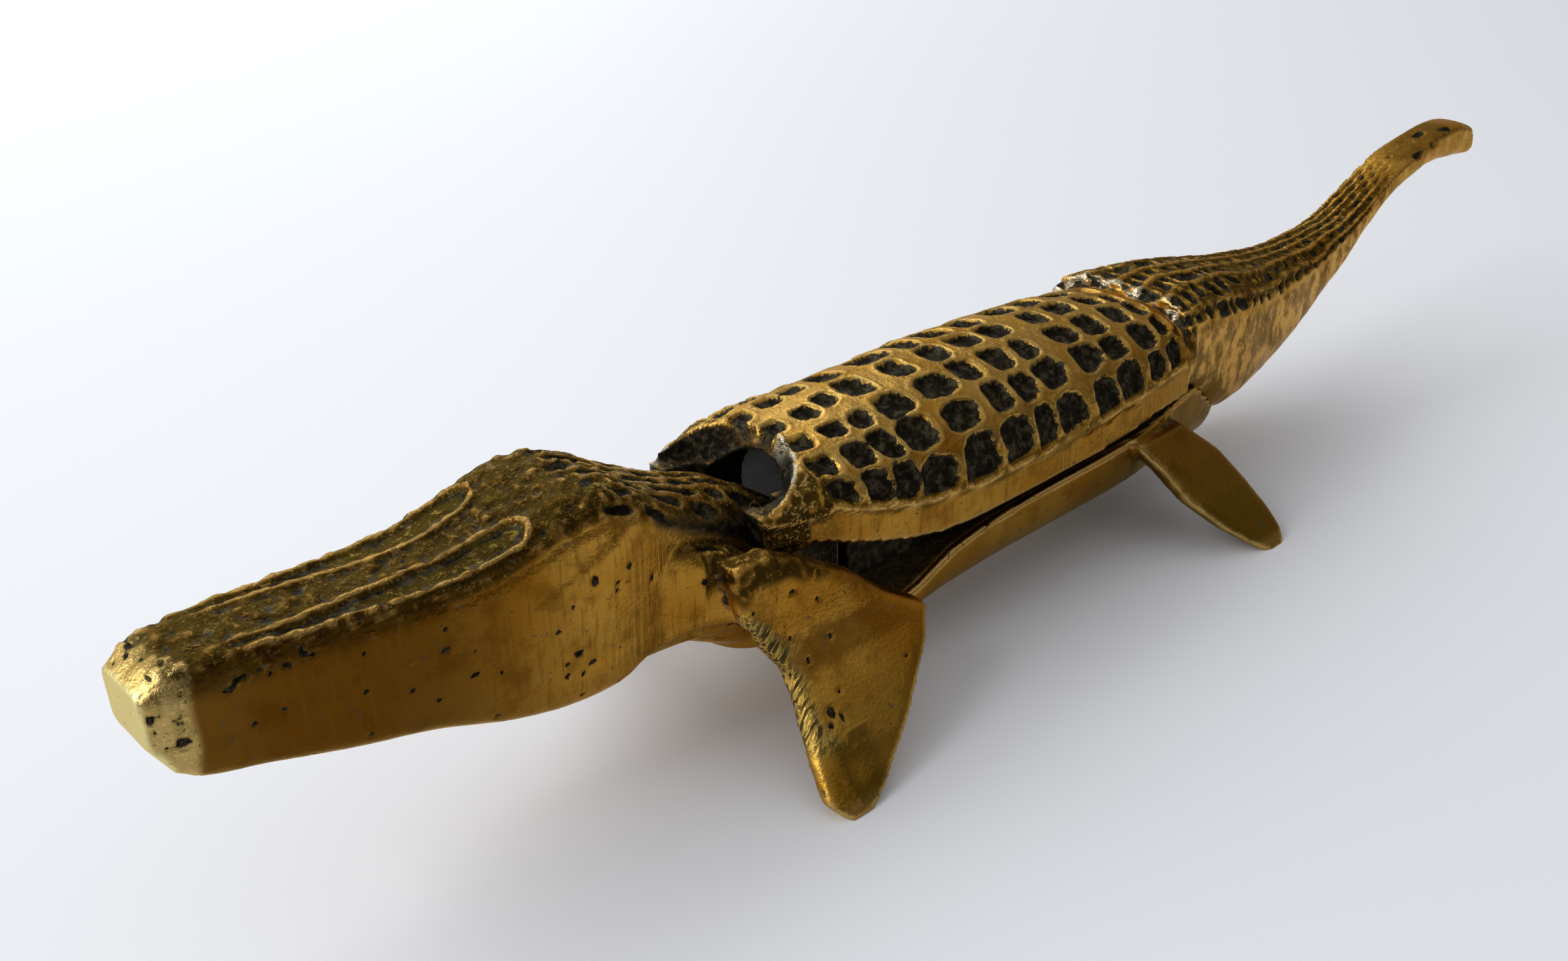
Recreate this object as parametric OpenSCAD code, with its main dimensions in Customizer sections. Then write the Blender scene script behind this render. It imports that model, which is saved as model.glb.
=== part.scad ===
// Cast crocodile nutcracker. The head, legs and belly are one casting. The hollow back and
// the tail are a second one, which lifts about a pin through the neck to open the nut chamber.
// +X runs to the tail, +Z is up, and the origin is on the table below the middle of the length.

/* [Lengths] */
// Root of the neck forward to the tip of the nose
head_length = 89; // [80:1:98]
// Root of the neck back to the rear of the hollow shell
shell_length = 104; // [100:1:108]
// Rear of the shell back to the tip of the tail
tail_length = 137; // [126:1:148]

/* [Body] */
// Width over the back shell
shell_width = 39; // [38.5:0.25:40.5]
// Thickness of the cast walls around the nut chamber
wall = 3.5; // [3:0.25:4]
// Height of the hinge pin above the table
hinge_z = 31; // [30.6:0.1:31.5]

/* [Hinge] */
// Hinge pin back from the root of the neck
pin_x = 3; // [2:0.25:3.75]
// Radius of the hinge pin
pin_r = 2; // [1.5:0.1:2.5]
// Radial running clearance of the pin in the neck
pin_clearance = 0.05; // [0.02:0.01:0.1]

/* [Hidden] */

nose_x = -head_length;
tip_x = shell_length + tail_length;
mid_x = (nose_x + tip_x) / 2;

ring_points = 28;       // points round a closed section
leg_points = 16;        // points round a leg section
hole_facets = 64;
trough_squareness = 3;  // 2 would be an ellipse, and more is nearer to a box
dome_squareness = 2.2;
shoulder_squareness = 5;
leg_squareness = 4;
tail_squareness = 3.2;
seam_gap = 0.35;        // gap between the tail's underside and the haunch
prong_inner_y = 8.7;    // the prongs stand either side of the neck
prong_outer_y = 13.2;
pin_end_y = 11.8;       // the pin's blind end, inside the near prong
neck_side_y = 8.4;      // the neck is machined to this where the prongs turn
sweep_r = 8;            // room in the body for the prongs to turn
sweep_outer_y = 14.1;
crown_low_z = 35;       // the shell is cut back above this, in a bowl round the neck
crown_top_z = 43;
crown_length = 9.4;     // how far back the bowl reaches at its foot
crown_half_width = 12.2;
crown_flare = 1.24;     // and how much wider it is at the top
slot_rear_x = 5.5;      // the gap between the prongs is open above as far back as this
arch_r = 9;
arch_top_z = 37.8;
chamber_front_x = 14;   // ends of the nut chamber
chamber_rear_x = shell_length - 7;
rim_band = 6.4;         // plain vertical strip along the shell's lower edge
inner_wall_x = [chamber_front_x + 1, 42];   // walls that hang from the shell into the body
inner_wall_y = [11.6, 13.8];
inner_wall_low_z = 18.5;
inner_web = [16.8, 27.5, 33];   // how far out the web above them runs, and its lower and upper edge
cutter_reach = 12;      // how far the cutters run on in front of the shell

// Each profile is a list of [station, value]. Head and body stations are shares of the head's
// and the shell's length, counted back from the root of the neck. Tail stations are shares of the tail's
// length, counted back from the shell. Values are in millimetres, or in shares of shell_width.
head_half_width = [[-1, 5], [-0.96, 6.6], [-0.82, 8.2], [-0.7, 9.6], [-0.56, 11.2], [-0.43, 12.5],
    [-0.33, 13.4], [-0.22, 12.8], [-0.12, 10.4], [-0.04, 8.6], [0, 8], [0.13, 5.5]];
head_top = [[-1, 43.4], [-0.96, 45.5], [-0.82, 45], [-0.68, 44.4], [-0.56, 44.2], [-0.47, 45.6],
    [-0.39, 48], [-0.33, 48.6], [-0.26, 47.2], [-0.18, 43.6], [-0.09, 40], [0, 37], [0.13, 29.5]];
head_squareness = [[-1, 6], [-0.3, 5], [-0.1, 3.2], [0.13, 2.6]];
head_bottom = [[-1, 36], [-0.965, 31], [-0.86, 28.3], [-0.74, 25.6], [-0.62, 23.2], [-0.5, 19.4],
    [-0.4, 17.6], [-0.3, 17.6], [-0.18, 18.8], [-0.09, 17], [0.13, 12]];

shoulder_half_width = [[-0.28, 12.4], [-0.18, 14], [-0.08, 16.4], [0.05, 17.6]];
shoulder_top = [[-0.28, 35], [-0.2, 38.2], [-0.15, 36], [-0.1, 33.6], [0, 29.4], [0.05, 28]];

belly_half_width = [[-0.14, 12], [-0.05, 15.5], [0.08, 18], [0.25, 19], [0.6, 19],
    [0.85, 18.2], [1, 15.6], [1.17, 12.6]];
belly_top = [[-0.14, 23], [0, 23], [0.08, 20], [0.17, 14.8], [0.24, 14.6], [0.34, 18.6],
    [0.5, 20.4], [0.8, 20.8], [1, 22], [1.17, 22]];
belly_bottom = [[-0.14, 17], [-0.05, 12.5], [0.1, 8.6], [0.3, 7.2], [0.7, 7.2], [1, 6], [1.17, 5]];

shell_share = [[-0.01, 0.68], [0.06, 0.77], [0.14, 0.89], [0.27, 0.975], [0.5, 1], [0.78, 0.965],
    [0.91, 0.9], [1, 0.82]];
shell_top = [[-0.01, 37], [0.06, 40.6], [0.14, 41.9], [0.34, 42.7], [0.6, 42.6], [0.82, 41.4],
    [1, 39]];
shell_rim = [[-0.01, 30], [0.06, 29.4], [0.13, 27.3], [0.21, 25.1], [0.3, 23.2], [0.42, 22.4],
    [0.7, 22.7], [0.85, 23.3], [1, 23.3]];

tail_half_width = [[0, 16.4], [0.1, 15], [0.2, 13.2], [0.31, 10.8], [0.44, 7.9], [0.56, 6.2],
    [0.7, 5.1], [0.85, 4.7], [1, 4.4]];
tail_top = [[0, 40.6], [0.08, 40.7], [0.16, 39.4], [0.24, 37.2], [0.32, 35.4], [0.44, 34], [0.56, 35.4],
    [0.65, 39.4], [0.73, 44.2], [0.81, 47.2], [0.89, 48.9], [0.95, 48.8], [1, 46.8]];
tail_bottom = [[0, 22.4], [0.06, 17.4], [0.12, 11.8], [0.17, 9.8], [0.24, 10.6], [0.33, 12.8],
    [0.42, 16.2], [0.48, 19.6], [0.54, 24], [0.59, 28.2], [0.63, 32], [0.69, 36.6],
    [0.78, 40.4], [0.88, 41.2], [1, 39.8]];

// Leg rows run up from the foot: [height, front, rear, distance from the middle, thickness].
front_leg_rows = [[0, -9.2, -4, 37.6, 3.5], [2, -11.2, 0.5, 35.6, 4.4], [6.6, -10, 9.1, 31.6, 5.2],
    [12.7, -7.3, 19.4, 25.4, 6.2], [16, -6.5, 23, 22, 6.6], [20, -9, 16, 19.4, 6.6],
    [24.5, -11, 11, 17.9, 6.4], [30, -12, 1.5, 17, 5], [33.5, -12, -5, 16.6, 4]];
rear_leg_rows = [[0, 100, 106.5, 37.8, 3.5], [2, 97, 107.5, 36, 4.4], [5, 93, 107.5, 33, 5],
    [10, 88.5, 106, 28, 5.6], [15, 87, 104, 22.5, 6.2], [20, 84, 99, 17, 6]];

// The outline of a prong, a blunt tooth: [station, height] in millimetres.
prong_points = [[-2.2, 35.9], [-0.6, 31.6], [0.6, 28], [9, 27], [9, 35.4], [3.4, 35]];

function signed_power(v, p) = sign(v) * pow(abs(v), p);

function span(profile, x, i = 0) =
    i >= len(profile) - 2 || x < profile[i + 1][0] ? i : span(profile, x, i + 1);

function slope(profile, i) =
    let (a = profile[max(i - 1, 0)], b = profile[min(i + 1, len(profile) - 1)])
    (b[1] - a[1]) / (b[0] - a[0]);

// A smooth curve through a profile's points.
function along(profile, x) =
    let (i = span(profile, x), a = profile[i], b = profile[i + 1], w = b[0] - a[0],
         t = min(max((x - a[0]) / w, 0), 1),
         s = t * t * (3 - 2 * t))
    a[1] * (1 - s) + b[1] * s
        + w * t * (1 - t) * ((1 - t) * slope(profile, i) - t * slope(profile, i + 1));

function steps(from, to, count) = [for (i = [0 : count]) from + (to - from) * i / count];

// Stations spread evenly over the length of a profile.
function stations(profile, count) = steps(profile[0][0], profile[len(profile) - 1][0], count);

// A closed section across X: a rounded box.
function box_ring(x, half_w, low, high, p) =
    [for (i = [0 : ring_points - 1]) let (a = 360 * i / ring_points)
        [x, half_w * signed_power(cos(a), 2 / p),
         (low + high) / 2 + (high - low) / 2 * signed_power(sin(a), 2 / p)]];

// A closed section across X: flat on top and round below.
function trough_ring(x, half_w, low, high, p) =
    [for (i = [0 : ring_points - 1]) let (a = 180 + 180 * i / (ring_points - 1))
        [x, half_w * signed_power(cos(a), 2 / p), high + (high - low) * signed_power(sin(a), 2 / p)]];

// A closed section across X: flat below, upright to the crease and domed above it.
function dome_ring(x, half_w, low, crease, high, p) = concat(
    [[x, half_w, low]],
    [for (i = [0 : ring_points - 3]) let (a = 180 * i / (ring_points - 3))
        [x, half_w * signed_power(cos(a), 2 / p),
         crease + (high - crease) * signed_power(sin(a), 2 / p)]],
    [[x, -half_w, low]]);

module loft(rings) {
    n = len(rings[0]);
    count = len(rings);
    sides = [for (r = [0 : count - 2], i = [0 : n - 1])
        [r * n + i, (r + 1) * n + i, (r + 1) * n + (i + 1) % n, r * n + (i + 1) % n]];
    ends = [[for (i = [0 : n - 1]) i], [for (i = [n - 1 : -1 : 0]) (count - 1) * n + i]];
    polyhedron(concat(rings[0], [for (r = [1 : count - 1]) each rings[r]]),
        concat(sides, ends), convexity = 6);
}

module head_and_neck() {
    loft([for (u = stations(head_top, 40))
        box_ring(u * head_length, along(head_half_width, u), along(head_bottom, u),
            along(head_top, u), along(head_squareness, u))]);
}

// The cheeks run out into the shoulders either side of the narrow neck.
module shoulders() {
    bottom_z = 18.6;
    loft([for (u = stations(shoulder_top, 12))
        box_ring(u * head_length, along(shoulder_half_width, u), bottom_z, along(shoulder_top, u),
            shoulder_squareness)]);
}

module belly_outside() {
    loft([for (u = stations(belly_top, 36))
        trough_ring(u * shell_length, along(belly_half_width, u), along(belly_bottom, u),
            along(belly_top, u), trough_squareness)]);
}

module belly_hollow() {
    loft([for (x = steps(chamber_front_x, chamber_rear_x, 20)) let (u = x / shell_length)
        trough_ring(x, along(belly_half_width, u) - wall, along(belly_bottom, u) + wall,
            along(belly_top, u) + wall, trough_squareness)]);
}

module leg(rows) {
    loft([for (row = rows)
        [for (i = [0 : leg_points - 1]) let (a = 360 * i / leg_points)
            [(row[1] + row[2]) / 2 + (row[2] - row[1]) / 2 * signed_power(cos(a), 2 / leg_squareness),
             row[3] + row[4] / 2 * signed_power(sin(a), 2 / leg_squareness), row[0]]]]);
}

module tail() {
    loft([for (u = stations(tail_top, 44))
        box_ring(shell_length + u * tail_length, along(tail_half_width, u),
            along(tail_bottom, u), along(tail_top, u), tail_squareness)]);
}

module shell_outside() {
    into_tail = 1;
    loft([for (x = steps(shell_top[0][0] * shell_length, shell_length + into_tail, 32))
        let (u = min(x / shell_length, 1), low = along(shell_rim, u))
        dome_ring(x, shell_width / 2 * along(shell_share, u), low, low + rim_band,
            along(shell_top, u), dome_squareness)]);
}

module shell_hollow() {
    below_rim = 3;
    inner_crease_drop = 1;
    loft([for (x = steps(chamber_front_x, chamber_rear_x, 24))
        let (u = x / shell_length, low = along(shell_rim, u))
        dome_ring(x, shell_width / 2 * along(shell_share, u) - wall, low - below_rim,
            low + rim_band - inner_crease_drop, along(shell_top, u) - wall, dome_squareness)]);
}

// A disc or hole about the hinge axis, from one distance from the middle to another.
module about_hinge(r, from_y, to_y) {
    translate([pin_x, from_y, hinge_z]) rotate([-90, 0, 0])
        cylinder(r = r, h = to_y - from_y, $fn = hole_facets);
}

module both_sides() {
    children();
    mirror([0, 1, 0]) children();
}

// Room for the neck under the front of the shell.
module neck_opening() {
    length = cutter_reach + chamber_front_x + 2;
    arch_z = arch_top_z - arch_r;
    translate([-cutter_reach, 0, arch_z]) rotate([0, 90, 0])
        cylinder(r = arch_r, h = length, $fn = hole_facets);
    translate([-cutter_reach, -prong_inner_y, 0])
        cube([length, 2 * prong_inner_y, arch_z]);
    translate([-cutter_reach, -prong_inner_y, 0])
        cube([cutter_reach + slot_rear_x, 2 * prong_inner_y, crown_low_z + 1]);
}

// The bowl that the shell's front edge is cut back to, flared so that the rim faces up and forward.
module crown_cut() {
    translate([0, 0, crown_low_z]) scale([crown_length, crown_half_width, 1])
        cylinder(r1 = 1, r2 = crown_flare, h = crown_top_z - crown_low_z, $fn = hole_facets);
    translate([-cutter_reach, -shell_width / 2, crown_low_z])
        cube([cutter_reach, shell_width, crown_top_z]);
}

module prong() {
    translate([0, prong_outer_y, 0]) rotate([90, 0, 0])
        linear_extrude(prong_outer_y - prong_inner_y) polygon(prong_points);
}

// A wall inside the shell that closes the side of the nut chamber where the body's edge dips.
module inner_wall() {
    length = inner_wall_x[1] - inner_wall_x[0];
    translate([inner_wall_x[0], inner_wall_y[0], inner_wall_low_z])
        cube([length, inner_wall_y[1] - inner_wall_y[0], inner_web[2] - inner_wall_low_z]);
    translate([inner_wall_x[0], inner_wall_y[0], inner_web[1]])
        cube([length, inner_web[0] - inner_wall_y[0], inner_web[2] - inner_web[1]]);
}

module body_shape() {
    difference() {
        union() {
            head_and_neck();
            shoulders();
            difference() {
                belly_outside();
                belly_hollow();
            }
            both_sides() leg(front_leg_rows);
            both_sides() leg(rear_leg_rows);
        }
        translate([0, 0, -seam_gap]) tail();
        both_sides() about_hinge(sweep_r, neck_side_y, sweep_outer_y);
    }
}

module lever_shape() {
    difference() {
        union() {
            difference() {
                shell_outside();
                crown_cut();
            }
            tail();
            both_sides() prong();
        }
        shell_hollow();
        neck_opening();
    }
    both_sides() inner_wall();
}

// resize with no sizes changes nothing, but it joins a casting into one mesh before it is bored.
module crocodile_body() {
    color("goldenrod") translate([-mid_x, 0, 0]) difference() {
        resize([0, 0, 0]) body_shape();
        about_hinge(pin_r + pin_clearance, -sweep_outer_y, sweep_outer_y);
    }
}

module back_and_tail_lever() {
    color("darkgoldenrod") translate([-mid_x, 0, 0]) difference() {
        resize([0, 0, 0]) lever_shape();
        about_hinge(pin_r, -pin_end_y, prong_outer_y + 1);
    }
}

module hinge_pin() {
    color("peru") translate([-mid_x, 0, 0]) about_hinge(pin_r, -pin_end_y, prong_outer_y);
}

crocodile_body();
back_and_tail_lever();
hinge_pin();
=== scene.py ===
import math

import bpy
import numpy as np
from mathutils import Matrix, Vector


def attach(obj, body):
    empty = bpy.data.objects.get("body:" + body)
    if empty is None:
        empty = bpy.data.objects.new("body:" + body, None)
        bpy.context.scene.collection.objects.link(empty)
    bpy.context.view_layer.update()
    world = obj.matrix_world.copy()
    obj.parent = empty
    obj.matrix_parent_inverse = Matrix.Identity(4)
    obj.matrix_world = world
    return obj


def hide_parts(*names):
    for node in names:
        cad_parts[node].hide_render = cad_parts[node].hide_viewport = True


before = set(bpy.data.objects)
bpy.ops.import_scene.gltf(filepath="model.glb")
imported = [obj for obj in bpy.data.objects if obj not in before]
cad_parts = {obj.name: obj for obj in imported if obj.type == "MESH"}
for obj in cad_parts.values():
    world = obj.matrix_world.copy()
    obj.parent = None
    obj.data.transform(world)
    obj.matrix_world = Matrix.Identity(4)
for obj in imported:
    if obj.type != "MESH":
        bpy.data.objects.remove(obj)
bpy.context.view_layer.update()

MM = 0.001
ROOT_X = -76            # the root of the neck, which stations are counted from, in mm
BODY_VOXEL = 0.58       # spacing of the fine meshes, in mm
LEVER_VOXEL = 0.53
MARKS = ("pit", "grime", "painted_sheen", "worn", "olive", "brushed", "mottled", "tarnish_and_shade", "bare_and_highlight", "filed",
         "inside", "wall_reflection", "grit_and_glint")

# Shapes that follow the CAD source, in mm.
RIM_BAND = 6.4          # plain upright strip below the shell's dome
DOME_POWER = 2.2
SHELL_END = 104
HEAD_END = -89
TAIL_END = 241
WALL_STATIONS = (14, 43.5)      # a box round the walls that hang inside the shell: its stations,
WALL_OUT = 15                   # how far out it reaches,
WALL_TOP = 33                   # and how high
CROWN_LOW = 35          # foot of the bowl that the shell's front edge is cut to
CROWN_LENGTH = 9.4
CROWN_HALF_WIDTH = 12.2
CROWN_FLARE = 0.03      # how much wider the bowl is for each mm up

# The net of pits on the shell: stations of the columns, which follow no rule but were measured and
# rounded to 0.5 mm, and for each row the angle from the crest, half its height in degrees, and
# half its length as a share of the column's pitch.
PIT_COLUMNS = (11.5, 18.5, 24, 31, 41, 50, 57.5, 65, 75, 83, 92, 99.5)
PIT_ROWS = ((0, 7.5, 0.33), (20.5, 9.5, 0.37), (44.5, 10.8, 0.38), (74, 14.5, 0.43))
PIT_SQUARENESS = 3.4
PIT_DEPTH = 1.3

TAIL_ROW = 19           # degrees round the tail from one row of pits to the next
TAIL_PIT = 4.8          # and mm from one pit to the next
NECK_ROW = 3.2
NECK_PIT = 7.5
LOOP_END = -40.5        # where the snout's loops start to close
LOOP_HALF = 2.8         # half their width
RECESS_HEIGHT = 28.4    # lower edge of the dark recess beside the neck, at station 0
RECESS_FALL = 0.62      # and how much it falls for each mm further back

FILE_SLANT = math.radians(48)   # slope of the file marks on the front legs

# Colours of the old brass, from bare metal to dirt, with painted highlights, painted shade and a painted
# sheen among them, and the painted grey reflection on the inner walls.
BROWN_BRASS = (0.42, 0.185, 0.016, 1)
YELLOW_BRASS = (0.56, 0.30, 0.045, 1)
CLOUDED = (0.17, 0.068, 0.006, 1)
# Tarnish, also used as painted shade.
TARNISH_AND_SHADE = (0.075, 0.027, 0.0015, 1)
OLIVE = (0.20, 0.145, 0.016, 1)
STREAKED = (0.13, 0.062, 0.008, 1)
MOTTLED_DARK = (0.110, 0.048, 0.008, 1)
MOTTLED_PALE = (0.62, 0.34, 0.085, 1)
# Pale wear, also used for painted highlights.
PALE_WEAR_AND_HIGHLIGHT = (0.62, 0.40, 0.12, 1)
# Pale edges: partly wear, partly painted highlight.
EDGE_WEAR_AND_HIGHLIGHT = (0.60, 0.40, 0.13, 1)
FILED = (0.47, 0.35, 0.09, 1)
# Pale bare metal, painted paler as a highlight.
BARE_AND_HIGHLIGHT = (0.66, 0.57, 0.25, 1)
# Pale grey of the painted sheen on the rough rims.
PAINTED_SHEEN_GREY = (0.46, 0.47, 0.38, 1)
FILM_DARK = (0.016, 0.008, 0.002, 1)
FILM_PALE = (0.040, 0.026, 0.004, 1)
GREEN_FRINGE = (0.17, 0.115, 0.010, 1)
# Colour of the painted glints in the grit.
PAINTED_GLINT = (0.66, 0.47, 0.16, 1)
# Dirt, also used as painted shade in the recess beside the neck.
DARK_DIRT_AND_SHADE = (0.008, 0.006, 0.004, 1)
PALE_DIRT_AND_SHADE = (0.060, 0.050, 0.028, 1)
# Pale grey painted reflection on the inner walls.
PAINTED_WALL_REFLECTION = (0.80, 0.83, 0.88, 1)

ROOM_LIGHT = 0.84
WINDOW_LIGHT = 27       # watts
WINDOW_PLACE = (-1.55, 0.62, 0.95)
FAR_LIGHT = 9
FAR_PLACE = (0.35, 1.15, 0.75)
BACKDROP = (0.94, 0.96, 1.0, 1)
FLOOR_HALF = 30.0       # half the table's width, in metres
FLOOR_FADE = (0.45, 1.5)      # distances, in metres, over which the table turns into the backdrop

# The camera, as a least-squares fit placed it. Angles are in degrees.
CAMERA_TURN = -43.34
CAMERA_TILT = 90 - 27.56
CAMERA_ROLL = -0.46
CAMERA_LENS = 35.14     # mm, on a sensor 36 mm wide
CAMERA_PLACE = (-0.2080, -0.1556, 0.1429)


# ---------------------------------------------------------------- numbers at each point

def smooth(low, high, value):
    """0 below low, 1 above high, and an even S between them."""
    t = np.clip((value - low) / (high - low), 0, 1)
    return t * t * (3 - 2 * t)


def band(low, high, soft, value):
    """1 between low and high, fading out over soft on both sides."""
    return smooth(low - soft, low + soft, value) * (1 - smooth(high - soft, high + soft, value))


def lattice_value(corner, seed):
    """A repeatable value from -1 to 1 for each whole-numbered corner."""
    n = corner[:, 0] * 73856093 ^ corner[:, 1] * 19349663 ^ corner[:, 2] * 83492791
    n = (n + seed * 40503) * 2654435761 & 0xFFFFFFFF
    n = (n ^ n >> 15) * 2246822519 & 0xFFFFFFFF
    n = n ^ n >> 13
    return (n & 0xFFFF) / 32767.5 - 1


def noise(points, size, seed):
    """Smooth noise from -1 to 1, with lumps about size across."""
    scaled = points / size
    corner = np.floor(scaled).astype(np.int64)
    part = scaled - corner
    part = part * part * (3 - 2 * part)
    total = np.zeros(len(points))
    for step in np.ndindex(2, 2, 2):
        share = np.where(np.array(step) == 1, part, 1 - part).prod(axis=1)
        total += share * lattice_value(corner + np.array(step), seed)
    return total


# ---------------------------------------------------------------- fine meshes

def fine_copy(node, name, spacing):
    """A new piece with the shape of a CAD node, on an even fine mesh."""
    piece = bpy.data.objects.new(name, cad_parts[node].data.copy())
    bpy.context.scene.collection.objects.link(piece)
    remesh = piece.modifiers.new("remesh", "REMESH")
    remesh.mode = "VOXEL"
    remesh.voxel_size = spacing * MM
    bpy.context.view_layer.update()
    graph = bpy.context.evaluated_depsgraph_get()
    mesh = bpy.data.meshes.new_from_object(piece.evaluated_get(graph))
    piece.modifiers.clear()
    piece.data = mesh
    return piece


def read_points(mesh):
    """The mesh's points in mm, as stations along the length, widths and heights."""
    flat = np.empty(len(mesh.vertices) * 3)
    mesh.vertices.foreach_get("co", flat)
    points = flat.reshape(-1, 3) / MM
    points[:, 0] -= ROOT_X
    return points


def write_points(mesh, points):
    moved = points.copy()
    moved[:, 0] += ROOT_X
    mesh.vertices.foreach_set("co", (moved * MM).ravel())
    mesh.update()


def read_normals(mesh):
    flat = np.empty(len(mesh.vertices) * 3)
    mesh.vertices.foreach_get("normal", flat)
    return flat.reshape(-1, 3)


def averaged(mesh, points, rounds, pulls=(1.0,)):
    """Each point moved towards the mean of its neighbours, once per pull in every round."""
    edges = np.empty(len(mesh.edges) * 2, np.int32)
    mesh.edges.foreach_get("vertices", edges)
    a, b = edges.reshape(-1, 2).T
    count = np.bincount(a, minlength=len(points)) + np.bincount(b, minlength=len(points))
    for _ in range(rounds):
        for pull in pulls:
            total = np.empty_like(points)
            for axis in range(3):
                total[:, axis] = (np.bincount(a, points[b, axis], len(points))
                                  + np.bincount(b, points[a, axis], len(points)))
            points = points + pull * (total / count[:, None] - points)
    return points


def relax(mesh, points, rounds):
    """Melts the CAD facets into one another. The second pull undoes the shrinking of the first."""
    return averaged(mesh, points, rounds, (0.5, -0.52))


def write_value(mesh, name, values):
    attribute = mesh.attributes.new(name, "FLOAT", "POINT")
    attribute.data.foreach_set("value", values.astype(np.float32))


def concavity(mesh, points, normals, rounds):
    """How far each point lies below its smoothed surroundings, in mm. Bumps are negative."""
    return ((averaged(mesh, points, rounds) - points) * normals).sum(axis=1)


# ---------------------------------------------------------------- outlines measured on the CAD mesh

def outline(station, value, reducer, first, last, step=1.0):
    """The highest or lowest value at each station, as a function of the station."""
    stops = np.arange(first, last + step, step)
    slot = np.round((station - first) / step).astype(int)
    inside = (slot >= 0) & (slot < len(stops))
    worst = -1e9 if reducer is np.maximum else 1e9
    best = np.full(len(stops), worst)
    reducer.at(best, slot[inside], value[inside])
    filled = best != worst
    return lambda wanted: np.interp(wanted, stops[filled], best[filled])


# ---------------------------------------------------------------- carving

class Carving:
    """A casting's points, how deep to carve at each one, and the marks that colour it."""

    def __init__(self, mesh):
        self.mesh = mesh
        self.points = read_points(mesh)
        self.normals = read_normals(mesh)
        self.h, self.y, self.z = self.points.T
        self.depth = np.zeros(len(self.points))
        self.marks = {name: np.zeros(len(self.points)) for name in MARKS}
        self.marks["pit"] -= 1
        self.ragged = 0.13 * self.noise(1.9, 1) + 0.08 * self.noise(1.0, 2)
        self.grain = 0.55 * self.noise(1.6, 3) + 0.45 * self.noise(1.0, 4)

    def noise(self, size, seed):
        return noise(self.points, size, seed)

    def carve(self, depth):
        self.depth += depth

    def mark(self, name, values):
        self.marks[name] = np.maximum(self.marks[name], values)

    def pits(self, field, area, depth):
        """Steep pits where field is above 0, within area, with crisp edges in the material."""
        field = field + self.ragged
        self.carve(depth * area * smooth(-0.02, 0.22, field))
        self.carve(0.3 * depth * area * self.grain * smooth(0.1, 0.4, field))
        self.mark("pit", np.where(area > 0.05, field - 0.6 * (1 - area), -1))

    def finish(self):
        write_points(self.mesh, self.points - self.depth[:, None] * self.normals)
        self.marks["hollow"] = concavity(self.mesh, read_points(self.mesh), read_normals(self.mesh), 4)
        for name, values in self.marks.items():
            write_value(self.mesh, name, values)


def box_field(u, v, power):
    """1 in the middle of a rounded box of half sizes 1, and 0 along its edge."""
    return 1 - (np.abs(u) ** power + np.abs(v) ** power) ** (1 / power)


def brick_field(rows, lengths, width, length):
    """Fields of pits laid like bricks. Rows and lengths count the pits across and along, and
    width and length are the half sizes of a pit as shares of its place."""
    row = np.round(rows)
    along = lengths + 0.5 * (row % 2)
    return box_field((rows - row) / width, (along - np.round(along)) / length, 2.6)


def shell_net(c, across, area):
    """The net of pits over the shell's dome."""
    shake = np.random.default_rng(5)
    gaps = np.gradient(np.array(PIT_COLUMNS, float))
    field = np.full(len(c.h), -1.0)
    h = c.h + 0.8 * c.noise(6, 21)
    across = across + 2.6 * c.noise(7, 22)
    for centre, gap in zip(PIT_COLUMNS, gaps):
        for row, (angle, half_angle, share) in enumerate(PIT_ROWS):
            for turn in ((angle, -angle) if angle else (0,)):
                draw = shake.uniform(-1, 1, 4)
                length = share * gap * (1 + 0.14 * draw[0])
                height = half_angle * (1 + 0.10 * draw[1]) * (0.72 if centre < 26 and row < 2 else 1)
                u = (h - centre - 0.5 * draw[2]) / length
                v = (across - turn - 1.2 * draw[3]) / height
                near = (np.abs(u) < 1.8) & (np.abs(v) < 1.8)
                here = box_field(u[near], v[near], PIT_SQUARENESS)
                field[near] = np.maximum(field[near], here)
    worn_front = smooth(8, 15, c.h)
    c.pits(field, area * (0.35 + 0.65 * worn_front), PIT_DEPTH * (1 + 0.2 * c.noise(9, 23)))
    c.carve(-0.14 * area * band(-0.22, -0.04, 0.05, field) + 0.12 * area * c.noise(2.6, 24))
    c.mark("grime", 0.35 * area)
    # The crest of the shell painted paler: a painted highlight.
    c.mark("worn", 0.75 * area * (1 - smooth(30, 80, np.abs(across))) * smooth(-0.5, 0.4, c.noise(6, 25)))


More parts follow.
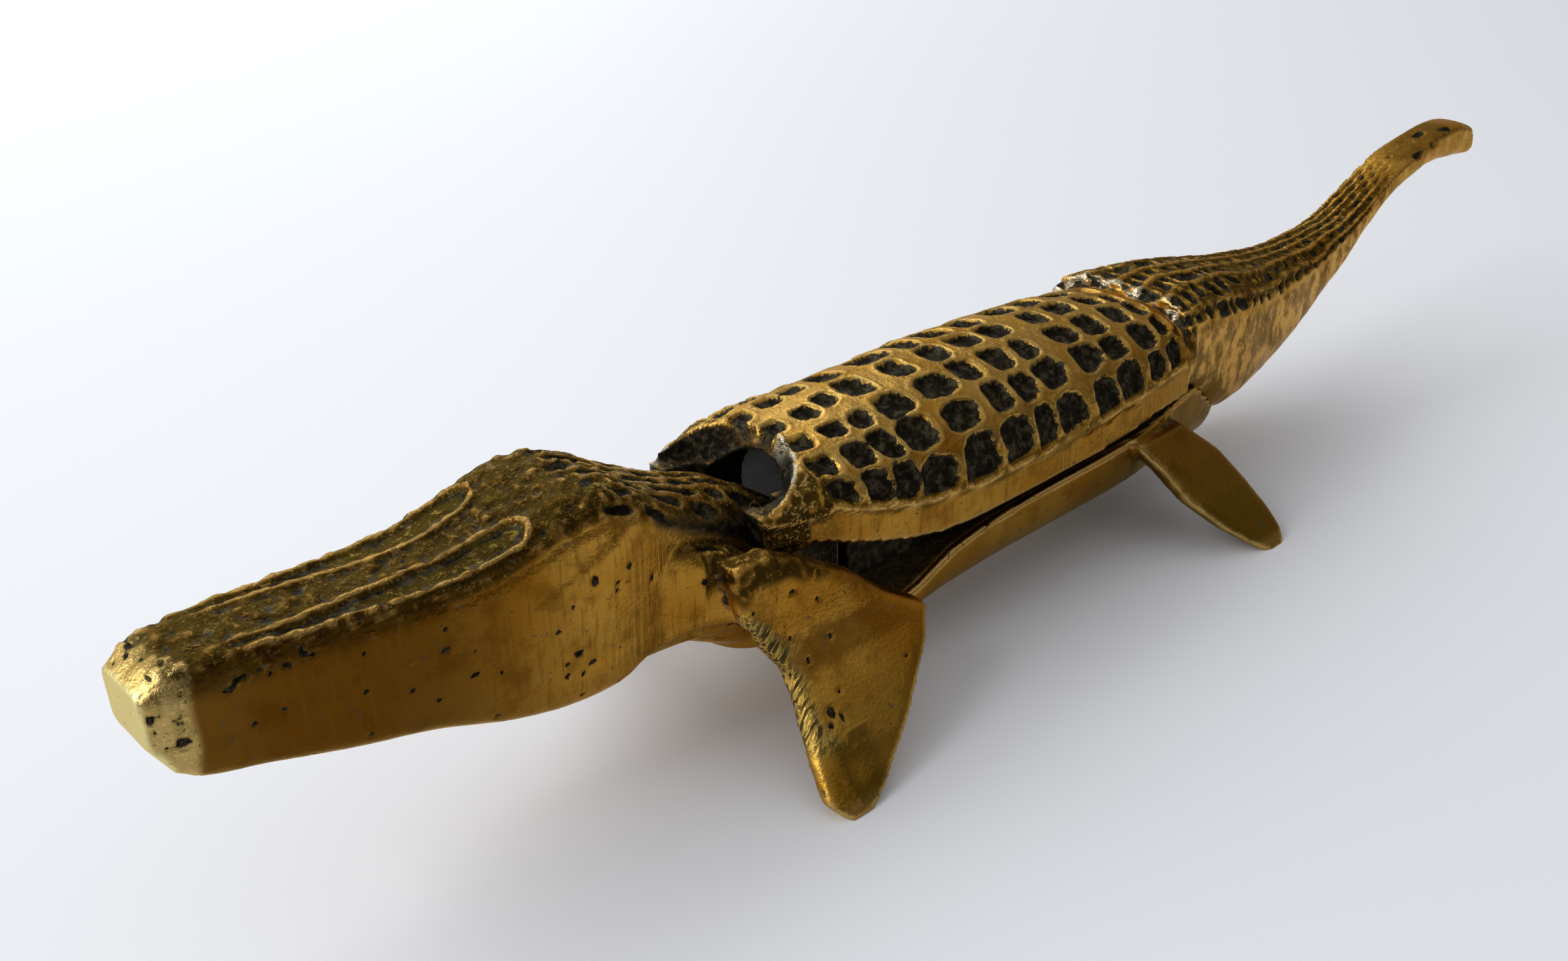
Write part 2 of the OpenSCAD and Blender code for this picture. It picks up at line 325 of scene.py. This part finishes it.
def shell_front(c, across, outward):
    """The granular front of the shell, and the rough rim of the bowl it is cut to, with a painted sheen on
    part of it.
    """
    wide = 1 + CROWN_FLARE * np.maximum(c.z - CROWN_LOW, 0)
    ring = np.hypot(c.h / CROWN_LENGTH, c.y / CROWN_HALF_WIDTH) / wide
    ring = np.where(c.h < 0, np.abs(c.y) / CROWN_HALF_WIDTH, ring)
    outside = c.normals[:, 0] * 0.8 + c.normals[:, 1] * np.sign(c.y) * 0.6
    lip = (c.h < 13) * (c.z > 33.5) * smooth(0.90, 0.96, ring) * smooth(0.5, 0, outside)
    lip = lip * (1 - smooth(0.99, 1.06, ring + 0.4 * c.ragged))
    # Part of the rim painted pale grey as a painted sheen.
    sheen_part = lip * smooth(-2, -4, c.y) * smooth(36, 38, c.z) + lip * (c.h < 2.5) * (c.y > 0)
    rough = outward * (1 - smooth(9, 15, c.h + 2.0 * c.noise(4, 5)))
    rough = rough * (1 - 0.7 * smooth(90, 95, np.abs(across)))
    tooth = (c.h < 6) * (np.abs(c.y) > 8)
    c.carve(0.38 * c.grain * np.maximum(np.maximum(rough, lip), tooth * 0.8))
    c.mark("painted_sheen", np.clip(sheen_part, 0, 1))
    c.mark("grime", np.clip(rough + tooth + lip, 0, 1) * (1 - 0.4 * np.clip(sheen_part, 0, 1)))
    c.mark("grit_and_glint", 0.6 * np.maximum(rough, tooth))


def rim_strip(c, across, outward, bottom):
    """The crease under the dome, the brushed strip and its pale lower edge, the crease and edge painted pale
    partly as wear and partly as a highlight.
    """
    crease = outward * band(89, 94, 1.2, np.abs(across) + 2.5 * c.noise(4, 11))
    c.carve(-0.25 * crease)
    # The crease painted pale: partly wear, partly painted highlight.
    c.mark("worn", crease * (0.6 + 0.4 * c.noise(2.5, 12)))
    strip = outward * smooth(92, 96, np.abs(across))
    c.mark("brushed", strip)
    c.mark("tarnish_and_shade", strip * 0.3)
    c.mark("grime", outward * band(84, 93, 2, np.abs(across) + 5 * c.noise(3, 15)) * 0.8)
    # The strip's lower edge painted pale: partly wear, partly painted highlight.
    c.mark("worn", outward * (1 - smooth(0.5, 1.1, c.z - bottom)) * (c.h > 8) * 0.8)


def tail_back(c, over, along_tail):
    """Ridges and rows of pits over the tail, its mottled sides, and the rough step at its root with a painted
    sheen on part of it.
    """
    on_back = 1 - smooth(52, 62, np.abs(over))
    fade = along_tail * (1 - smooth(190, 212, c.h))
    rows = over / TAIL_ROW + 0.24 * c.noise(8, 6)
    lengths = c.h / TAIL_PIT + 0.55 * c.noise(5, 7)
    worn = 0.05 + 0.2 * smooth(112, 150, c.h) + 0.2 * smooth(165, 210, c.h) + 0.25 * c.noise(6, 16)
    field = brick_field(rows, lengths, 0.40, 0.38) - worn
    c.pits(field + c.ragged, fade * on_back * (1 - 0.3 * smooth(120, 160, c.h)), 0.75)
    ridges = band(0.36, 0.6, 0.08, np.abs(rows - np.round(rows)))
    c.carve(-0.35 * fade * on_back * ridges + 0.25 * c.grain * fade * on_back)
    edge = along_tail * (1 - smooth(205, 225, c.h)) * band(54, 60, 3, np.abs(over) + 3 * c.noise(6, 13))
    c.carve(-0.28 * edge + 0.25 * fade * c.grain * band(60, 68, 3, np.abs(over)))
    tip = smooth(190, 210, c.h) * smooth(0.1, 0.5, c.normals[:, 2])
    c.pits(c.noise(2.4, 17) - 0.45, tip, 0.5)
    c.mark("grime", np.maximum(fade * on_back, 0.6 * tip * smooth(-0.3, 0.4, c.noise(7, 18))))
    # The ridge along the tail's edge painted pale: a painted highlight.
    c.mark("worn", edge * 0.4)
    c.mark("mottled", along_tail * smooth(58, 66, np.abs(over)) * (1 - 0.6 * smooth(185, 205, c.h)))
    c.carve(along_tail * 0.15 * c.noise(3.5, 14) * smooth(60, 70, np.abs(over)))

    lean = c.h + 0.9 * c.noise(2.2, 8)
    step = band(SHELL_END - 0.3, SHELL_END + 1.4, 0.3, lean) * (c.z > 30)
    # Part of the step painted pale grey as a painted sheen.
    sheen_part = step * smooth(-14.5, -12.5, c.y) * smooth(-0.6, 0.1, c.noise(1.7, 39))
    c.carve(0.4 * c.grain * step)
    c.mark("painted_sheen", 0.85 * sheen_part)
    c.mark("grime", step * (1 - 0.5 * sheen_part))


def carve_lever(c):
    start, end = WALL_STATIONS
    inner_wall = (c.h > start) * (c.h < end) * (np.abs(c.y) < WALL_OUT) * (c.z < WALL_TOP)
    outer = ~inner_wall
    top = outline(c.h, c.z, np.maximum, 12, TAIL_END)(c.h)
    bottom = outline(c.h[outer], c.z[outer], np.minimum, 0, TAIL_END)(c.h)
    side = outline(c.h, np.abs(c.y), np.maximum, 0, TAIL_END)(c.h)
    crease = bottom + RIM_BAND
    up = (c.z - crease) / (top - crease)
    out = np.abs(c.y) / side
    power = DOME_POWER / 2
    turn = np.arctan2(out ** power, np.sign(up) * np.abs(up) ** power)
    across = np.degrees(turn) * np.sign(c.y)
    outward = smooth(0, 0.3, c.normals[:, 1] * np.sign(c.y) * out + c.normals[:, 2] * np.maximum(up, 0))
    outward = outward * outer
    along_tail = smooth(SHELL_END - 0.3, SHELL_END + 0.3, c.h)
    on_shell = outward * (1 - along_tail)
    middle = (top + bottom) / 2
    over = np.degrees(np.arctan2(c.y / side, (c.z - middle) / (top - middle)))

    dome = on_shell * (1 - smooth(87, 91, np.abs(across))) * (1 - smooth(101, 103, c.h))
    shell_net(c, across, dome)
    shell_front(c, across, on_shell)
    rim_strip(c, across, on_shell, bottom)
    tail_back(c, over, along_tail)
    c.carve(0.25 * c.noise(13, 9) * (on_shell + along_tail))
    c.mark("inside", (1 - outward) * (c.h < SHELL_END - 2) * (c.z < top - 1.5))
    # The inner walls painted pale grey: a painted reflection.
    c.mark("wall_reflection", inner_wall * (c.normals[:, 1] * np.sign(c.y) < -0.5))


def snout_top(c, edge, upward):
    """The granular top of the head, with two long raised loops and a ridge along each edge."""
    area = upward * (1 - smooth(-24, -16, c.h)) * smooth(-88, -84, c.h) * (c.z > 36)
    outer_arm = 0.76 * edge
    half = LOOP_HALF * (0.35 + 0.65 * smooth(-76, -48, c.h))
    from_middle = np.hypot(np.abs(c.y) - outer_arm + half, 0.95 * np.maximum(c.h - LOOP_END, 0))
    away = np.abs(from_middle - half) + 1.6 * c.ragged
    on_loop = area * smooth(-79, -75, c.h) * (1 - smooth(-35.5, -34, c.h))
    ridge = on_loop * (1 - smooth(0.1, 0.75, away))
    channel = on_loop * (1 - smooth(half - 1.1, half - 0.5, from_middle))
    rail = upward * (c.z > 36) * smooth(-80, -74, c.h) * (1 - smooth(-40, -30, c.h)) * (
        1 - smooth(0.2, 1.0, np.abs(np.abs(c.y) - edge + 1.3) + 1.2 * c.ragged))
    raised = np.maximum(ridge, rail)
    rough = area * (1 - 0.6 * raised) * (1 - 0.55 * channel)
    c.carve(-0.5 * ridge - 0.35 * rail + 0.4 * channel + 0.6 * c.grain * rough + 0.2 * c.grain * raised)
    c.mark("grime", np.clip(area + rail, 0, 1) * (1 - 0.15 * raised))
    c.mark("tarnish_and_shade", area)
    c.mark("grit_and_glint", 0.12 * area)
    c.mark("olive", channel)


def neck_back(c):
    """Rows of long pits over the neck, and the recess where the prongs turn, painted dark as shade over
    patina.
    """
    area = smooth(0.2, 0.55, c.normals[:, 2]) * smooth(-31, -25, c.h) * (c.h < 12) * (c.z > 26) * (
        1 - smooth(12, 14, np.abs(c.y)))
    rows = c.y / NECK_ROW + 0.5 + 0.16 * c.noise(6, 26)
    worn = 0.3 * smooth(6, 11, np.abs(c.y)) + 0.2 * c.noise(4, 32)
    field = brick_field(rows, c.h / NECK_PIT + 0.4 * c.noise(5, 27), 0.33, 0.38) - worn
    c.pits(field + c.ragged, area, 0.75)
    c.carve(0.2 * c.grain * area)
    c.mark("grime", area)
    c.mark("tarnish_and_shade", 0.5 * area)
    c.mark("grit_and_glint", 0.25 * area)
    # The recess beside the neck painted black: painted shade over dark patina.
    above = c.z - (RECESS_HEIGHT - RECESS_FALL * c.h)
    recess = smooth(-0.5, 1.5, above) * (c.h > -21) * (c.h < 14) * (1 - smooth(0.3, 0.6, c.normals[:, 2])) * (
        np.abs(c.y) < 16)
    c.mark("inside", recess)


def spots(c, places, on_side):
    """Small ragged pits on one or both sides, each given as station, height, half sizes."""
    field = np.full(len(c.h), -1.0)
    for station, height, long, tall in places:
        u = (c.h - station) / long
        v = (c.z - height) / tall
        near = (np.abs(u) < 3) & (np.abs(v) < 3)
        field[near] = np.maximum(field[near], box_field(u[near], v[near], 2))
    c.pits(field, on_side, 0.45)


def head_sides(c):
    """Cheeks raised behind a crescent below the brow, hollows at the throat and stray pits."""
    sideways = smooth(0.5, 0.8, np.abs(c.normals[:, 1]))
    front = -41 + 2.0 * np.maximum(c.z - 37, 0) + 1.2 * c.noise(6, 38)
    cheek = sideways * smooth(-2.4, 2.4, c.h - front) * (1 - smooth(-26, -18, c.h)) * smooth(26, 36, c.z)
    c.carve(-0.45 * cheek)
    throat = 1 - np.hypot((c.h + 15) / 13, (c.z - 17.5) / 6.5)
    c.carve(0.9 * smooth(0, 0.25, throat) * (c.h < 0) * (np.abs(c.y) < 19))
    c.mark("brushed", sideways * (c.h < -5))
    # Sides darker towards the nose: painted shade over the tarnish.
    c.mark("tarnish_and_shade", sideways * (1 - 0.8 * smooth(-58, -26, c.h)))
    c.mark("grime", 0.7 * sideways * band(41.5, 48, 1.5, c.z + 1.5 * c.noise(5, 33)) * (c.h < -52))

    placed = [(-32, 38.5, 0.6, 0.9), (-26.5, 38.5, 0.5, 0.6), (-14, 31, 0.5, 0.6), (-35, 28, 0.7, 0.5),
              (-33, 26, 0.6, 0.4), (-37, 25, 0.5, 0.4), (-34.5, 24.4, 0.5, 0.4), (-3.8, 11.5, 0.8, 0.8),
              (-5, 10.2, 0.6, 0.4), (-2.6, 10.6, 0.4, 0.6), (-58, 36, 0.6, 0.3), (-50, 31, 0.7, 0.4)]
    shake = np.random.default_rng(11)
    near_top = [(shake.uniform(-80, -68), shake.uniform(41, 43.5), shake.uniform(0.3, 0.7), 0.4)
                for _ in range(12)]
    stray = [(shake.uniform(-80, 24), shake.uniform(12, 40),
              shake.uniform(0.25, 0.5), shake.uniform(0.25, 0.5)) for _ in range(60)]
    spots(c, placed + near_top + stray, sideways)


def nose_end(c):
    """A smooth bare front face, painted pale as a highlight, between two pitted corners."""
    tip = 1 - smooth(-84.5, -83, c.h + 0.8 * c.noise(3, 29))
    face = smooth(0.45, 0.75, -c.normals[:, 0]) * (c.h < -84)
    corner = tip * (1 - face)
    c.carve(0.3 * c.grain * corner)
    c.pits(0.9 * c.noise(1.1, 30) - 0.42, corner, 0.4)
    # The face towards the window painted pale: polished metal with a painted highlight.
    c.mark("bare_and_highlight", np.maximum(face, 0.25 * corner))
    # The corners painted yellow as a painted highlight.
    c.mark("worn", corner)
    c.mark("grime", 0.1 * corner)
    c.mark("grit_and_glint", 0.6 * corner)


def legs(c):
    """Filed front edges, olive feet, dark cast skin left along the top of the shoulders, and painted shade
    over the rear of the body.
    """
    on_leg = (np.abs(c.y) > 17) * (c.z < 26) * (c.h < 40)
    c.mark("olive", 0.5 * (1 - smooth(7, 17, c.z)))
    front_edge = -9.5 - 0.9 * np.maximum(c.z - 20, 0)
    filed = on_leg * (1 - smooth(3.5, 6, c.h - front_edge + 2 * c.noise(3, 31))) * smooth(7, 9, c.z)
    c.mark("filed", filed)
    c.carve(0.06 * filed * c.grain)
    dark_top = smooth(27, 30, c.z + 2.5 * c.noise(4, 34)) * (c.h > -14) * (c.h < 26)
    corner = smooth(8, 13, c.h + 2 * c.noise(4, 35)) * smooth(20.5, 24, c.z + 2 * c.noise(3, 36)) * (c.h < 26)
    skin = np.maximum(dark_top, corner) * (np.abs(c.y) > 12)
    c.carve(0.35 * c.grain * skin)
    c.mark("grime", skin)
    # The rear of the body and the rear legs painted darker: painted shade; the skin's share is tarnish.
    c.mark("tarnish_and_shade", np.maximum(0.4 * skin, 0.6 * smooth(22, 30, c.h) + 0.3 * (c.h > 84) * (c.z < 21)))
    c.mark("worn", 0.7 * (np.abs(c.y) > 30) * (1 - smooth(1.2, 2.6, c.z)))
    low_outside = (c.z < 9) * (np.abs(c.y) > 28) * smooth(-8, -6, c.h) * (1 - smooth(-1, 2, c.h))
    c.mark("grime", 0.6 * low_outside * band(-0.2, 0.5, 0.15, c.noise(5, 37)))


def carve_body(c):
    edge = outline(c.h, np.where(c.h < -20, np.abs(c.y), 0), np.maximum, HEAD_END, -21)(c.h)
    upward = smooth(0.35, 0.75, c.normals[:, 2])
    snout_top(c, edge, upward)
    neck_back(c)
    head_sides(c)
    nose_end(c)
    legs(c)
    trough = (c.h > 8) * (c.h < 100) * (c.normals[:, 1] * np.sign(c.y) < 0.2) * (c.normals[:, 2] > -0.2) * (
        np.abs(c.y) < 17.5) * (c.z > 8)
    c.mark("inside", trough * 0.9)
    c.carve(0.2 * c.noise(16, 28))


# ---------------------------------------------------------------- materials

class Graph:
    """Short names for building a node material."""

    def __init__(self, name):
        self.material = bpy.data.materials.new(name)
        self.material.use_nodes = True
        self.nodes = self.material.node_tree.nodes
        self.links = self.material.node_tree.links
        self.shader = self.nodes["Principled BSDF"]

    def node(self, kind, inputs, **settings):
        node = self.nodes.new(kind)
        for key, value in settings.items():
            setattr(node, key, value)
        for key, value in inputs.items():
            if isinstance(value, bpy.types.NodeSocket):
                self.links.new(value, node.inputs[key])
            else:
                node.inputs[key].default_value = value
        return node

    def mark(self, name):
        return self.node("ShaderNodeAttribute", {}, attribute_name=name).outputs["Fac"]

    def maths(self, operation, a, b=0.0, c=0.0):
        return self.node("ShaderNodeMath", {0: a, 1: b, 2: c}, operation=operation).outputs[0]

    def times(self, a, b):
        return self.maths("MULTIPLY", a, b)

    def most(self, *values):
        """The greatest of several values."""
        greatest = values[0]
        for value in values[1:]:
            greatest = self.maths("MAXIMUM", greatest, value)
        return greatest

    def noise(self, place, scale, detail=2.0, roughness=0.5):
        inputs = {"Vector": place, "Scale": scale, "Detail": detail, "Roughness": roughness}
        return self.node("ShaderNodeTexNoise", inputs).outputs["Fac"]

    def ramp(self, value, low, high, start=0.0, end=1.0):
        inputs = {"Value": value, "From Min": low, "From Max": high, "To Min": start, "To Max": end}
        return self.node("ShaderNodeMapRange", inputs, interpolation_type="SMOOTHSTEP").outputs["Result"]

    def mix(self, share, a, b):
        """Colour a turning into colour b as share goes from 0 to 1."""
        return self.node("ShaderNodeMix", {"Factor": share, 6: a, 7: b}, data_type="RGBA").outputs[2]


def old_brass():
    """Worn cast brass: bare on the high places, dark and dull in the hollows, with painted highlights, glints
    and shade.
    """
    g = Graph("old_brass")
    place = g.node("ShaderNodeTexCoord", {}).outputs["Object"]
    upright = g.node("ShaderNodeMapping", {"Vector": place, "Scale": (1, 1, 0.07)}).outputs["Vector"]
    tall = g.node("ShaderNodeMapping", {"Vector": place, "Scale": (1, 1, 0.7)}).outputs["Vector"]
    slant = {"Vector": place, "Rotation": (0, -FILE_SLANT, 0), "Scale": (26, 1, 1)}
    slanted = g.node("ShaderNodeMapping", slant, vector_type="TEXTURE").outputs["Vector"]
    m = {name: g.mark(name) for name in MARKS + ("hollow",)}

    broad = g.noise(place, 55, 3)
    cloud = g.noise(place, 230, 4, 0.6)
    flecks = g.noise(place, 620, 3, 0.65)
    fine = g.noise(place, 1700, 3, 0.6)
    brushed = g.noise(upright, 1500, 2, 0.6)
    filed = g.noise(slanted, 1900, 2, 0.5)
    blotch = g.noise(tall, 260, 5, 0.72)

    # Bare metal, from brown on the sides to pale where it is rubbed, with painted shade and painted
    # highlights among it.
    colour = g.mix(g.ramp(broad, 0.35, 0.65), BROWN_BRASS, YELLOW_BRASS)
    colour = g.mix(g.ramp(cloud, 0.48, 0.68, 0, 0.5), colour, CLOUDED)
    # Tarnish, and painted shade on the head's sides and the rear of the body.
    colour = g.mix(g.times(m["tarnish_and_shade"], 0.88), colour, TARNISH_AND_SHADE)
    colour = g.mix(g.times(m["olive"], 0.7), colour, OLIVE)
    streaks = g.times(m["brushed"], g.ramp(brushed, 0.50, 0.72, 0, 0.5))
    colour = g.mix(streaks, colour, STREAKED)
    patches = g.mix(g.ramp(blotch, 0.44, 0.60), MOTTLED_DARK, MOTTLED_PALE)
    colour = g.mix(g.times(m["mottled"], 0.85), colour, patches)
    # Pale wear; on the shell's crest, the rim, the tail's edge and the nose's corners it is a painted
    # highlight.
    colour = g.mix(g.times(m["worn"], 0.6), colour, PALE_WEAR_AND_HIGHLIGHT)
    # Convex edges painted pale: partly wear, partly painted highlight.
    edges = g.times(g.ramp(m["hollow"], -0.07, -0.30), g.maths("MULTIPLY_ADD", m["grime"], -0.5, 0.75))
    colour = g.mix(edges, colour, EDGE_WEAR_AND_HIGHLIGHT)
    colour = g.mix(g.times(m["filed"], 0.55), colour, FILED)
    colour = g.mix(m["bare_and_highlight"], colour, BARE_AND_HIGHLIGHT)
    # Painted sheen: pale grey on parts of the rough rims.
    colour = g.mix(g.times(m["painted_sheen"], 0.9), colour, PAINTED_SHEEN_GREY)

    # Old dirt: a brown film over the granular parts, and black in every pit, hollow and inside, the black in
    # the recess beside the neck being painted shade over the patina.
    ragged = g.maths("MULTIPLY_ADD", flecks, 0.44, g.maths("MULTIPLY_ADD", fine, 0.20, -0.32))
    film = g.ramp(g.maths("MULTIPLY_ADD", ragged, 0.5, m["hollow"]), -0.28, -0.04)
    film = g.times(g.times(m["grime"], film), g.maths("MULTIPLY_ADD", m["painted_sheen"], -0.75, 1.0))
    film = g.times(film, g.ramp(flecks, 0.66, 0.58))
    murk = g.mix(g.ramp(cloud, 0.40, 0.60), FILM_DARK, FILM_PALE)
    colour = g.mix(g.times(film, 0.92), colour, murk)
    in_pit = g.ramp(g.maths("ADD", m["pit"], ragged), -0.02, 0.06)
    fringe = g.ramp(g.maths("ADD", m["pit"], ragged), -0.26, -0.02)
    low = g.ramp(g.maths("MULTIPLY_ADD", ragged, 0.6, m["hollow"]), 0.09, 0.20)
    specks = g.times(g.ramp(flecks, 0.645, 0.70), 0.8)
    marks = g.times(m["filed"], g.ramp(filed, 0.49, 0.54, 0, 0.9))
    dirt_and_shade = g.most(in_pit, low, m["inside"], specks, marks)
    green = g.times(g.maths("SUBTRACT", fringe, in_pit), 0.4)
    colour = g.mix(green, colour, GREEN_FRINGE)
    # Painted glints: pale specks on the gritty parts; the same mark also roughens the bump.
    painted_glints = g.times(m["grit_and_glint"], g.ramp(fine, 0.55, 0.66))
    colour = g.mix(painted_glints, colour, PAINTED_GLINT)
    dark = g.mix(g.ramp(flecks, 0.45, 0.68), DARK_DIRT_AND_SHADE, PALE_DIRT_AND_SHADE)
    colour = g.mix(dirt_and_shade, colour, dark)
    # Painted reflection: the inner walls pale grey and, below, not metallic.
    colour = g.mix(m["wall_reflection"], colour, PAINTED_WALL_REFLECTION)

    dull = g.maths("MULTIPLY_ADD", g.ramp(cloud, 0.3, 0.8), 0.18, 0.25)
    dull = g.maths("MULTIPLY_ADD", g.most(dirt_and_shade, film), 0.22, dull)
    grit = g.most(m["grime"], m["painted_sheen"], m["inside"], in_pit)
    bump = g.maths("MULTIPLY_ADD", g.times(brushed, g.most(m["brushed"], 0.3)), 0.5, g.times(fine, 0.5))
    bump = g.maths("MULTIPLY_ADD", g.times(flecks, grit), 3.0, bump)
    bump = g.maths("MULTIPLY_ADD", g.times(fine, m["grit_and_glint"]), 1.6, bump)
    bump = g.maths("MULTIPLY_ADD", g.times(filed, m["filed"]), 3.0, bump)
    bump = g.maths("MULTIPLY_ADD", in_pit, -0.5, bump)
    normal = g.node("ShaderNodeBump", {"Height": bump, "Strength": 0.6, "Distance": 0.0003})
    g.links.new(g.maths("MULTIPLY_ADD", dirt_and_shade, -0.42, 0.5), g.shader.inputs["Specular IOR Level"])
    g.shader.inputs["Specular Tint"].default_value = (1.0, 0.86, 0.60, 1)

    g.links.new(colour, g.shader.inputs["Base Color"])
    g.links.new(dull, g.shader.inputs["Roughness"])
    g.links.new(g.maths("MULTIPLY_ADD", g.most(dirt_and_shade, m["wall_reflection"]), -0.8, 1.0), g.shader.inputs["Metallic"])
    g.links.new(normal.outputs["Normal"], g.shader.inputs["Normal"])
    return g.material


def make_castings(material):
    castings = (("crocodile_body", "body", BODY_VOXEL, carve_body),
                ("back_and_tail_lever", "lever", LEVER_VOXEL, carve_lever))
    for node, body, spacing, carve in castings:
        piece = fine_copy(node, node + "_cast", spacing)
        mesh = piece.data
        write_points(mesh, relax(mesh, read_points(mesh), 3))
        carving = Carving(mesh)
        carve(carving)
        carving.finish()
        mesh.materials.clear()
        mesh.materials.append(material)
        mesh.shade_smooth()
        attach(piece, body)
        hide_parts(node)


def turned_brass():
    """The pin's drawn brass, gone brown, with the fine rings that turning in its bore leaves."""
    g = Graph("turned_brass")
    place = g.node("ShaderNodeTexCoord", {}).outputs["Object"]
    ringed = g.node("ShaderNodeMapping", {"Vector": place, "Scale": (0.04, 1, 0.04)}).outputs["Vector"]
    rings = g.noise(ringed, 2600, 2, 0.6)
    stain = g.noise(place, 420, 4, 0.6)
    colour = g.mix(g.ramp(stain, 0.40, 0.62), (0.36, 0.17, 0.03, 1), (0.11, 0.055, 0.012, 1))
    colour = g.mix(g.ramp(rings, 0.52, 0.66, 0, 0.7), colour, (0.55, 0.33, 0.09, 1))
    normal = g.node("ShaderNodeBump", {"Height": rings, "Strength": 0.5, "Distance": 0.0001})
    g.links.new(colour, g.shader.inputs["Base Color"])
    g.links.new(g.ramp(stain, 0.3, 0.7, 0.28, 0.5), g.shader.inputs["Roughness"])
    g.links.new(normal.outputs["Normal"], g.shader.inputs["Normal"])
    g.shader.inputs["Metallic"].default_value = 1.0
    return g.material


def finish_pin(material):
    """The pin keeps its CAD shape."""
    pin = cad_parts["hinge_pin"]
    for slot in pin.material_slots:
        slot.link = "OBJECT"
        slot.material = material


# ---------------------------------------------------------------- floor, light and camera

def pale_table():
    """A pale table that turns into the backdrop far away, so that no edge of it shows."""
    g = Graph("pale_table")
    g.shader.inputs["Base Color"].default_value = (0.79, 0.81, 0.85, 1)
    g.shader.inputs["Roughness"].default_value = 0.6
    place = g.node("ShaderNodeNewGeometry", {}).outputs["Position"]
    reach = g.node("ShaderNodeVectorMath", {0: place}, operation="LENGTH").outputs["Value"]
    backdrop = g.node("ShaderNodeEmission", {"Color": BACKDROP, "Strength": ROOM_LIGHT}).outputs[0]
    inputs = {0: g.ramp(reach, FLOOR_FADE[0], FLOOR_FADE[1]), 1: g.shader.outputs[0], 2: backdrop}
    blend = g.node("ShaderNodeMixShader", inputs).outputs[0]
    g.links.new(blend, g.nodes["Material Output"].inputs["Surface"])
    return g.material


def make_floor():
    half = FLOOR_HALF
    mesh = bpy.data.meshes.new("floor")
    corners = [(-half, -half, 0), (half, -half, 0), (half, half, 0), (-half, half, 0)]
    mesh.from_pydata(corners, [], [(0, 1, 2, 3)])
    floor = bpy.data.objects.new("floor", mesh)
    bpy.context.scene.collection.objects.link(floor)
    mesh.materials.append(pale_table())


def area_light(name, place, aim, size, power, colour):
    data = bpy.data.lights.new(name, "AREA")
    data.size = size
    data.energy = power
    data.color = colour
    light = bpy.data.objects.new(name, data)
    bpy.context.scene.collection.objects.link(light)
    light.location = place
    light.rotation_mode = "QUATERNION"
    light.rotation_quaternion = (Vector(aim) - Vector(place)).to_track_quat("-Z", "Y")


def make_room():
    """A pale room, brightest towards the window beyond the nose and dim on the near side."""
    world = bpy.data.worlds.new("room")
    world.use_nodes = True
    nodes, links = world.node_tree.nodes, world.node_tree.links
    split = nodes.new("ShaderNodeSeparateXYZ")
    links.new(nodes.new("ShaderNodeTexCoord").outputs["Generated"], split.inputs[0])

    def blend(axis, low, high, before, after):
        """One colour below low on an axis, turning into another above high."""
        share = nodes.new("ShaderNodeMapRange")
        share.interpolation_type = "SMOOTHSTEP"
        share.inputs["From Min"].default_value = low
        share.inputs["From Max"].default_value = high
        links.new(split.outputs[axis], share.inputs["Value"])
        mix = nodes.new("ShaderNodeMix")
        mix.data_type = "RGBA"
        links.new(share.outputs[0], mix.inputs["Factor"])
        for socket, colour in ((mix.inputs[6], before), (mix.inputs[7], after)):
            if isinstance(colour, tuple):
                socket.default_value = colour
            else:
                links.new(colour, socket)
        return mix.outputs[2]

    colour = blend("X", -0.8, 0.6, (0.95, 0.97, 1.0, 1), (0.36, 0.32, 0.27, 1))
    colour = blend("Y", -0.9, 0.1, (0.10, 0.07, 0.045, 1), colour)
    colour = blend("Z", 0.15, 0.9, colour, (0.62, 0.62, 0.63, 1))
    seen = nodes.new("ShaderNodeMix")
    seen.data_type = "RGBA"
    seen.inputs[7].default_value = BACKDROP
    links.new(nodes.new("ShaderNodeLightPath").outputs["Is Camera Ray"], seen.inputs["Factor"])
    links.new(colour, seen.inputs[6])
    links.new(seen.outputs[2], nodes["Background"].inputs["Color"])
    nodes["Background"].inputs["Strength"].default_value = ROOM_LIGHT
    bpy.context.scene.world = world
    area_light("window", WINDOW_PLACE, (0, 0, 0), 1.4, WINDOW_LIGHT, (0.98, 0.99, 1.0))
    area_light("far_wall", FAR_PLACE, (0.2, 0.5, 0), 1.2, FAR_LIGHT, (0.94, 0.97, 1.0))
    bpy.context.scene.view_settings.view_transform = "Standard"


def make_camera():
    turn = math.radians(CAMERA_TURN)
    tilt = math.radians(CAMERA_TILT)
    roll = math.radians(CAMERA_ROLL)
    data = bpy.data.cameras.new("camera")
    data.lens = CAMERA_LENS
    data.sensor_width = 36
    camera = bpy.data.objects.new("camera", data)
    bpy.context.scene.collection.objects.link(camera)
    camera.matrix_world = (Matrix.Translation(CAMERA_PLACE)
                           @ Matrix.Rotation(turn, 4, "Z")
                           @ Matrix.Rotation(tilt, 4, "X")
                           @ Matrix.Rotation(roll, 4, "Z"))
    bpy.context.scene.camera = camera


brass = old_brass()
make_castings(brass)
finish_pin(turned_brass())
make_floor()
make_room()
make_camera()

bpy.context.view_layer.update()
